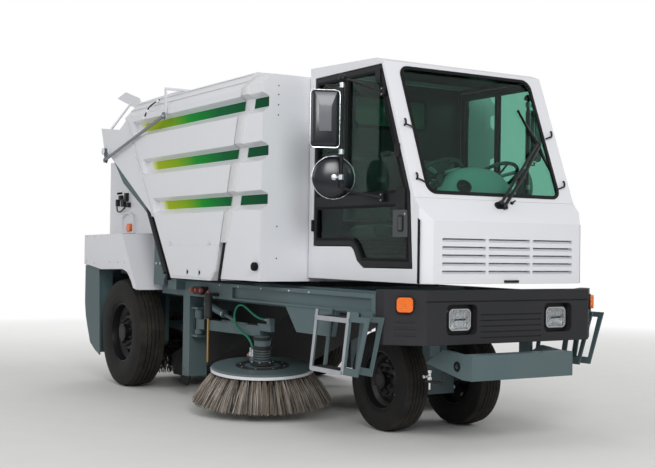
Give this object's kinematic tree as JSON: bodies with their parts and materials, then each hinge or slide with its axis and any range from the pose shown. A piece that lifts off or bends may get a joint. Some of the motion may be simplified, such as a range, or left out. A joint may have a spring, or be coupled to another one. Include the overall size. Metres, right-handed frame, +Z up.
{
  "type": "street sweeper truck",
  "caption": "Street sweeper truck with a rear-tipping hopper and lid, a forward glass cab, steered twin front wheels, gutter brooms and a main broom behind the drive wheels.",
  "frame": {"origin": "on the ground, at the middle of the overall length and width", "axes": "+X forward, +Y to the driver's left, +Z up"},
  "size_m": [5.575, 2.7986, 2.9599],
  "materials": {
    "white_paint": "gloss",
    "chassis_paint": "satin",
    "charcoal_paint": "satin",
    "black_paint": "satin",
    "engine_iron": "matte",
    "step_metal": "satin",
    "rod_chrome": "polished",
    "tyre": "matte",
    "bristle": "matte",
    "cab_plastic": "matte",
    "seat_cloth": "matte",
    "tinted_glass": "gloss",
    "clear_lamp": "gloss",
    "amber_lamp": "gloss",
    "red_lamp": "gloss",
    "hose_rubber": "satin"
  },
  "bodies": {
    "chassis": {"main_frame": "chassis_paint", "side_beams": "chassis_paint", "hopper_posts": "chassis_paint", "drive_hubs": "chassis_paint", "engine_block": "engine_iron", "rear_hood": "white_paint", "fenders": "white_paint", "rear_skirt": "chassis_paint", "elevator": "chassis_paint", "front_cover": "white_paint", "cab_shell": "white_paint", "cab_nose": "white_paint", "cab_glass": "tinted_glass", "dashboard": "cab_plastic", "seats": "seat_cloth", "bumper": "charcoal_paint", "headlamps": "clear_lamp", "marker_lamps": "amber_lamp", "tail_lamps": "red_lamp", "push_bar": "chassis_paint", "steps": "step_metal"},
    "hopper": {"hopper": "white_paint", "hopper_chute": "white_paint", "hopper_wings": "white_paint"},
    "lid": {"hopper_lid": "white_paint"},
    "lid_link": {"lid_link": "black_paint"},
    "tip_barrels": {"tip_barrels": "black_paint"},
    "tip_rods": {"tip_rods": "rod_chrome"},
    "steering": {"front_yoke": "chassis_paint"},
    "broom_arms": {"broom_arms": "chassis_paint"},
    "main_broom": {"main_broom": "bristle"},
    "door_right": {"door_right": "black_paint", "door_glass_right": "tinted_glass", "mirror_right": "white_paint"},
    "front_wheel_right": {"front_right_tyre": "tyre", "front_right_rim": "black_paint"},
    "rear_wheel_right": {"rear_right_tyre": "tyre", "rear_right_rim": "black_paint"},
    "gutter_arm_right": {"gutter_arm_right": "chassis_paint", "gutter_hose_right": "hose_rubber"},
    "gutter_broom_right": {"gutter_broom_right": "bristle"},
    "door_left": {"door_left": "black_paint", "door_glass_left": "tinted_glass", "mirror_left": "white_paint"},
    "front_wheel_left": {"front_left_tyre": "tyre", "front_left_rim": "black_paint"},
    "rear_wheel_left": {"rear_left_tyre": "tyre", "rear_left_rim": "black_paint"},
    "gutter_arm_left": {"gutter_arm_left": "chassis_paint", "gutter_hose_left": "hose_rubber"},
    "gutter_broom_left": {"gutter_broom_left": "bristle"}
  },
  "joints": [
    {"name": "hopper_tip", "type": "hinge", "parent": "chassis", "child": "hopper", "pos_m": [-2.2925, 0, 2.35], "axis": [0, -1, 0], "range_deg": [0, 60]},
    {"name": "lid_lift", "type": "hinge", "parent": "hopper", "child": "lid", "pos_m": [-0.7525, 0, 2.822], "axis": [0, 1, 0], "range_deg": [0, 28]},
    {"name": "link_swing", "type": "hinge", "parent": "chassis", "child": "lid_link", "pos_m": [-2.2375, -1.2, 2.255], "axis": [0, -1, 0], "range_deg": [0, 62]},
    {"name": "barrel_swing", "type": "hinge", "parent": "chassis", "child": "tip_barrels", "pos_m": [-0.8225, 0, 1.11], "axis": [0, 1, 0], "range_deg": [0, 6.5]},
    {"name": "rod_slide", "type": "slide", "parent": "tip_barrels", "child": "tip_rods", "axis": [-0.5819, 0, 0.8132], "range_m": [0, 0.69]},
    {"name": "steer", "type": "hinge", "parent": "chassis", "child": "steering", "pos_m": [1.6575, 0, 0.93], "axis": [0, 0, 1], "range_deg": [-50, 50]},
    {"name": "main_broom_lift", "type": "hinge", "parent": "chassis", "child": "broom_arms", "pos_m": [-1.1725, 0, 0.56], "axis": [0, 1, 0], "range_deg": [-1.5, 8]},
    {"name": "main_broom_spin", "type": "hinge", "parent": "broom_arms", "child": "main_broom", "pos_m": [-2.2725, 0, 0.37], "axis": [0, 1, 0], "continuous": true},
    {"name": "door_right_swing", "type": "hinge", "parent": "chassis", "child": "door_right", "pos_m": [1.1635, -0.757, 2], "axis": [0, 0, -1], "range_deg": [0, 72]},
    {"name": "front_wheel_right_spin", "type": "hinge", "parent": "steering", "child": "front_wheel_right", "pos_m": [1.6575, -0.35, 0.385], "axis": [0, 1, 0], "continuous": true},
    {"name": "rear_wheel_right_spin", "type": "hinge", "parent": "chassis", "child": "rear_wheel_right", "pos_m": [-1.7725, -1.055, 0.527], "axis": [0, 1, 0], "continuous": true},
    {"name": "gutter_arm_right_swing", "type": "hinge", "parent": "chassis", "child": "gutter_arm_right", "pos_m": [-0.5575, -0.9, 0.7], "axis": [0, 0, -1], "range_deg": [-8, 12]},
    {"name": "gutter_broom_right_spin", "type": "hinge", "parent": "gutter_arm_right", "child": "gutter_broom_right", "pos_m": [0.4575, -0.8, 0.105], "axis": [0.0741, -0.0462, 0.9962], "continuous": true},
    {"name": "door_left_swing", "type": "hinge", "parent": "chassis", "child": "door_left", "pos_m": [1.1635, 0.757, 2], "axis": [0, 0, 1], "range_deg": [0, 72]},
    {"name": "front_wheel_left_spin", "type": "hinge", "parent": "steering", "child": "front_wheel_left", "pos_m": [1.6575, 0.35, 0.385], "axis": [0, 1, 0], "continuous": true},
    {"name": "rear_wheel_left_spin", "type": "hinge", "parent": "chassis", "child": "rear_wheel_left", "pos_m": [-1.7725, 1.055, 0.527], "axis": [0, 1, 0], "continuous": true},
    {"name": "gutter_arm_left_swing", "type": "hinge", "parent": "chassis", "child": "gutter_arm_left", "pos_m": [-0.5575, 0.9, 0.7], "axis": [0, 0, 1], "range_deg": [-8, 12]},
    {"name": "gutter_broom_left_spin", "type": "hinge", "parent": "gutter_arm_left", "child": "gutter_broom_left", "pos_m": [0.4575, 0.8, 0.105], "axis": [0.0741, 0.0462, 0.9962], "continuous": true}
  ],
  "couplings": [
    {"joint": "lid_lift", "follows": "hopper_tip", "ratio": 0.46167},
    {"joint": "link_swing", "follows": "hopper_tip", "ratio": 1.0185},
    {"joint": "barrel_swing", "follows": "hopper_tip", "ratio": 0.10233},
    {"joint": "rod_slide", "follows": "hopper_tip", "m_per_rad": 0.65289}
  ]
}
